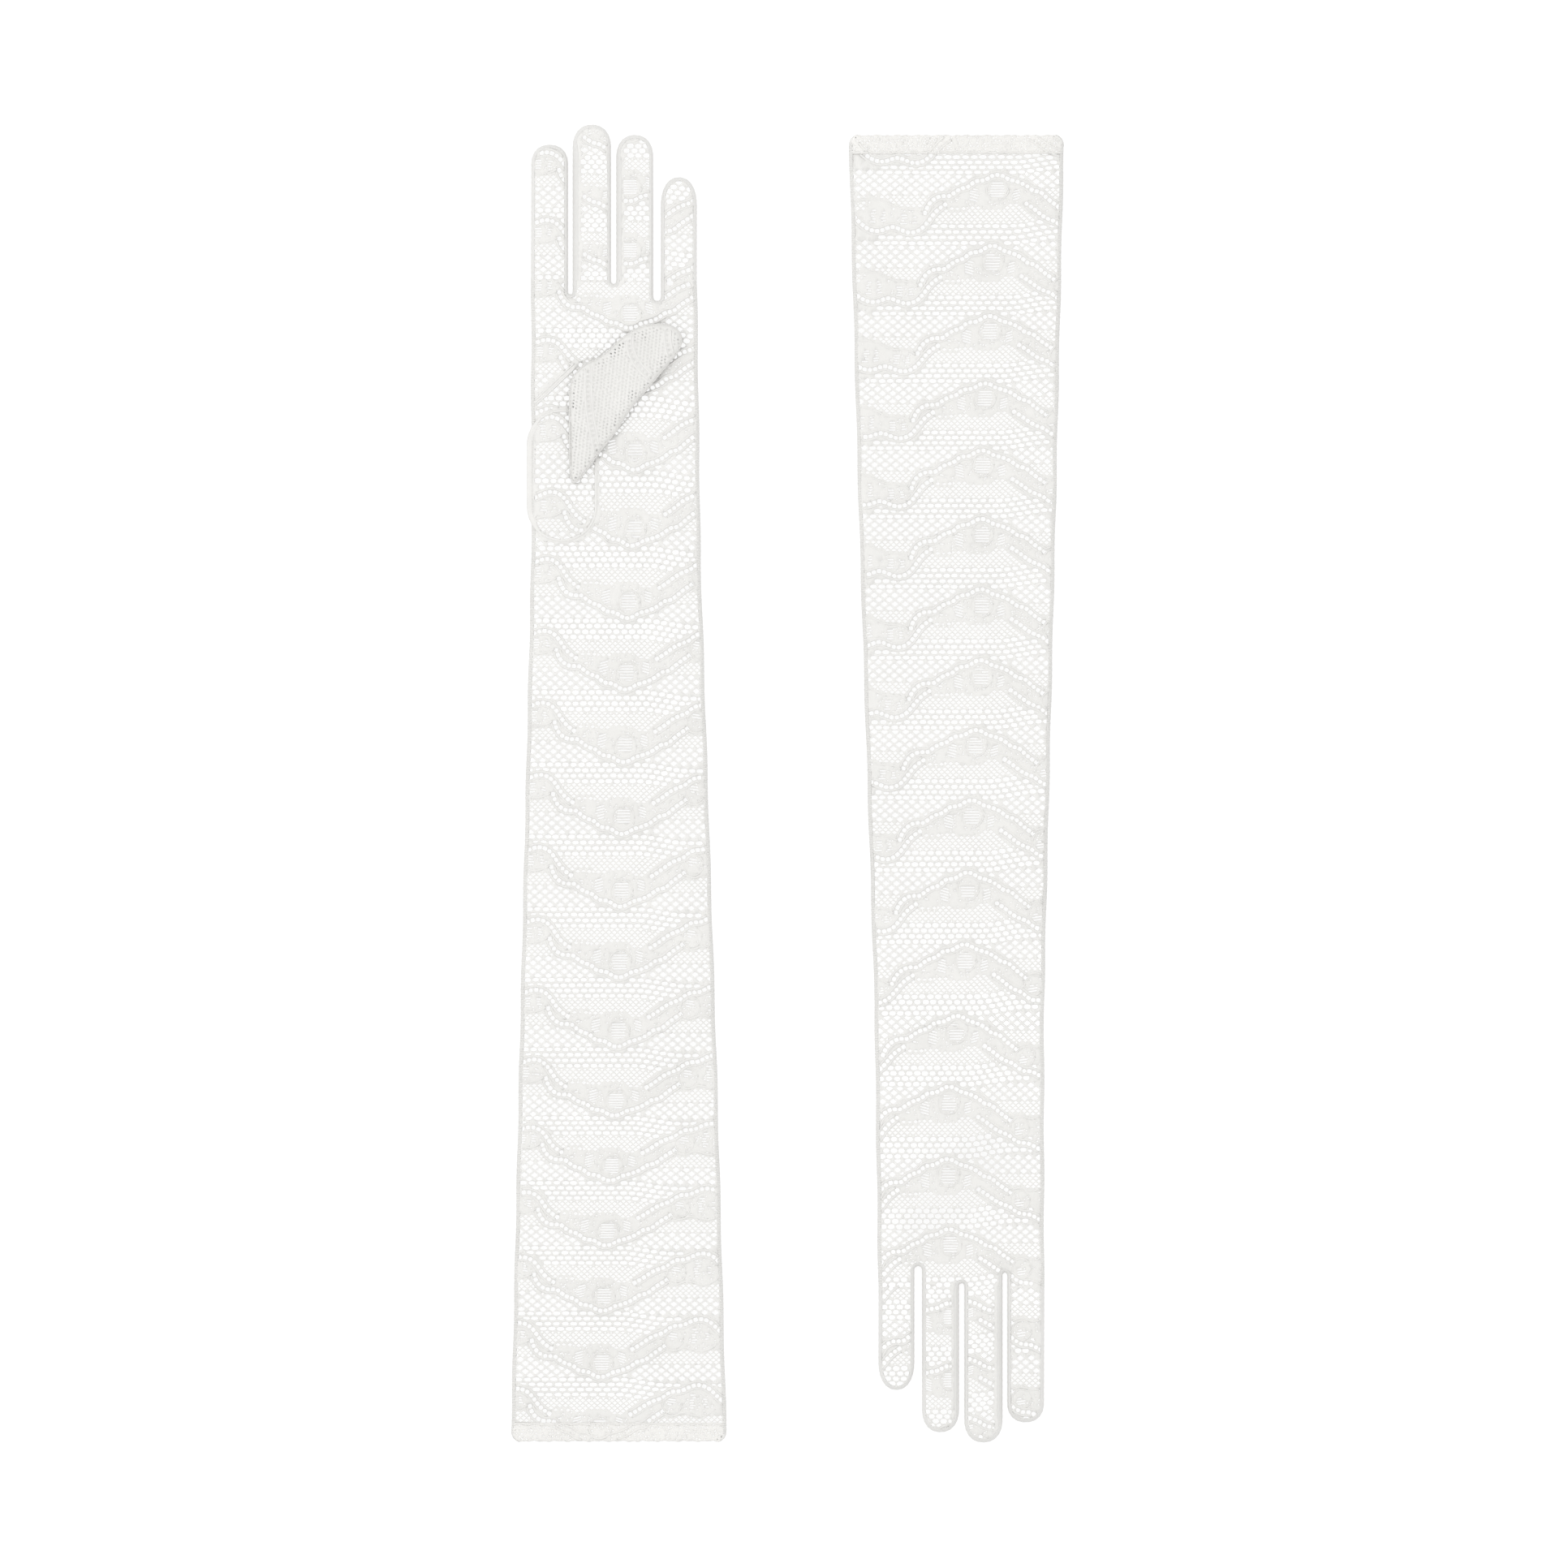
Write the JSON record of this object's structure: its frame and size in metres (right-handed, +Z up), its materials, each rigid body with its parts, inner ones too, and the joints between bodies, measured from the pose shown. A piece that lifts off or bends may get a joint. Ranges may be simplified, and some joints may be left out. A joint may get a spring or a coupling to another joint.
{
  "type": "pair of long lace gloves",
  "caption": "Pair of opera-length stretch lace gloves lying flat, with separate finger stalls, set-in thumbs and a turned hem band.",
  "frame": {"origin": "on the table under the middle of the pair's bounding box", "axes": "+Y along the gloves, toward the left glove's fingertips; +X across the pair, from the left glove to the right one; +Z up from the table"},
  "size_m": [0.2588, 0.6166, 0.0121],
  "materials": {
    "lace": "soft matt ivory-white stretch lace",
    "edge_lace": "folded and seamed lace, matt",
    "tricot": "plain fine-ribbed knit, matt",
    "hem_lace": "doubled lace, matt"
  },
  "bodies": {
    "left_upper_sleeve": {"left_upper_sleeve_palm_panel": "lace", "left_upper_sleeve_back_panel": "lace", "left_upper_sleeve_thumb_side_fold": "edge_lace", "left_upper_sleeve_little_finger_side_seam": "edge_lace", "left_hem_band": "hem_lace"},
    "left_forearm": {"left_forearm_palm_panel": "lace", "left_forearm_back_panel": "lace", "left_forearm_thumb_side_fold": "edge_lace", "left_forearm_little_finger_side_seam": "edge_lace"},
    "left_hand": {"left_hand_palm_panel": "lace", "left_hand_back_panel": "lace", "left_hand_thumb_side_fold": "edge_lace", "left_hand_little_finger_side_seam": "edge_lace", "left_finger_crotch_strips": "tricot", "left_thumb_gusset": "tricot"},
    "left_index_finger": {"left_index_palm_panel": "lace", "left_index_back_panel": "lace", "left_index_fourchette": "tricot"},
    "left_middle_finger": {"left_middle_palm_panel": "lace", "left_middle_back_panel": "lace", "left_middle_fourchette": "tricot"},
    "left_ring_finger": {"left_ring_palm_panel": "lace", "left_ring_back_panel": "lace", "left_ring_fourchette": "tricot"},
    "left_little_finger": {"left_little_palm_panel": "lace", "left_little_back_panel": "lace", "left_little_fourchette": "tricot"},
    "left_thumb": {"left_thumb_inner_panel": "lace", "left_thumb_outer_panel": "lace", "left_thumb_side_seam": "edge_lace"},
    "right_upper_sleeve": {"right_upper_sleeve_palm_panel": "lace", "right_upper_sleeve_back_panel": "lace", "right_upper_sleeve_thumb_side_fold": "edge_lace", "right_upper_sleeve_little_finger_side_seam": "edge_lace", "right_hem_band": "hem_lace"},
    "right_forearm": {"right_forearm_palm_panel": "lace", "right_forearm_back_panel": "lace", "right_forearm_thumb_side_fold": "edge_lace", "right_forearm_little_finger_side_seam": "edge_lace"},
    "right_hand": {"right_hand_palm_panel": "lace", "right_hand_back_panel": "lace", "right_hand_thumb_side_fold": "edge_lace", "right_hand_little_finger_side_seam": "edge_lace", "right_finger_crotch_strips": "tricot", "right_thumb_gusset": "tricot"},
    "right_index_finger": {"right_index_palm_panel": "lace", "right_index_back_panel": "lace", "right_index_fourchette": "tricot"},
    "right_middle_finger": {"right_middle_palm_panel": "lace", "right_middle_back_panel": "lace", "right_middle_fourchette": "tricot"},
    "right_ring_finger": {"right_ring_palm_panel": "lace", "right_ring_back_panel": "lace", "right_ring_fourchette": "tricot"},
    "right_little_finger": {"right_little_palm_panel": "lace", "right_little_back_panel": "lace", "right_little_fourchette": "tricot"},
    "right_thumb": {"right_thumb_inner_panel": "lace", "right_thumb_outer_panel": "lace", "right_thumb_side_seam": "edge_lace"}
  },
  "joints": [
    {"name": "left_elbow_fold", "type": "hinge", "parent": "left_upper_sleeve", "child": "left_forearm", "pos_m": [-0.079, -0.1313, 0.00615], "axis": [1, 0, 0], "range_deg": [0, 90]},
    {"name": "left_wrist_fold", "type": "hinge", "parent": "left_forearm", "child": "left_hand", "pos_m": [-0.08035, 0.1037, 0.00615], "axis": [1, 0, 0], "range_deg": [0, 60]},
    {"name": "left_index_knuckle", "type": "hinge", "parent": "left_hand", "child": "left_index_finger", "pos_m": [-0.1114, 0.2367, 0.00615], "axis": [1, 0, 0], "range_deg": [0, 90]},
    {"name": "left_middle_knuckle", "type": "hinge", "parent": "left_hand", "child": "left_middle_finger", "pos_m": [-0.09165, 0.2367, 0.00615], "axis": [1, 0, 0], "range_deg": [0, 90]},
    {"name": "left_ring_knuckle", "type": "hinge", "parent": "left_hand", "child": "left_ring_finger", "pos_m": [-0.07155, 0.2367, 0.00615], "axis": [1, 0, 0], "range_deg": [0, 90]},
    {"name": "left_little_knuckle", "type": "hinge", "parent": "left_hand", "child": "left_little_finger", "pos_m": [-0.0509, 0.2367, 0.00615], "axis": [1, 0, 0], "range_deg": [0, 90]},
    {"name": "left_thumb_swing", "type": "hinge", "parent": "left_hand", "child": "left_thumb", "pos_m": [-0.1056, 0.1587, 0.00945], "axis": [0, 0, 1], "range_deg": [0, 85]},
    {"name": "right_glove_slide", "type": "slide", "parent": "left_upper_sleeve", "child": "right_upper_sleeve", "axis": [1, 0, 0], "range_m": [0, 0.1]},
    {"name": "right_elbow_fold", "type": "hinge", "parent": "right_upper_sleeve", "child": "right_forearm", "pos_m": [0.079, 0.1313, 0.00615], "axis": [-1, 0, 0], "range_deg": [0, 90]},
    {"name": "right_wrist_fold", "type": "hinge", "parent": "right_forearm", "child": "right_hand", "pos_m": [0.08035, -0.1037, 0.01225], "axis": [-1, 0, 0], "range_deg": [0, 60]},
    {"name": "right_index_knuckle", "type": "hinge", "parent": "right_hand", "child": "right_index_finger", "pos_m": [0.1114, -0.2367, 0.01225], "axis": [-1, 0, 0], "range_deg": [0, 90]},
    {"name": "right_middle_knuckle", "type": "hinge", "parent": "right_hand", "child": "right_middle_finger", "pos_m": [0.09165, -0.2367, 0.01225], "axis": [-1, 0, 0], "range_deg": [0, 90]},
    {"name": "right_ring_knuckle", "type": "hinge", "parent": "right_hand", "child": "right_ring_finger", "pos_m": [0.07155, -0.2367, 0.01225], "axis": [-1, 0, 0], "range_deg": [0, 90]},
    {"name": "right_little_knuckle", "type": "hinge", "parent": "right_hand", "child": "right_little_finger", "pos_m": [0.0509, -0.2367, 0.01225], "axis": [-1, 0, 0], "range_deg": [0, 90]},
    {"name": "right_thumb_swing", "type": "hinge", "parent": "right_hand", "child": "right_thumb", "pos_m": [0.1056, -0.1587, 0.00265], "axis": [0, 0, 1], "range_deg": [0, 85]}
  ]
}
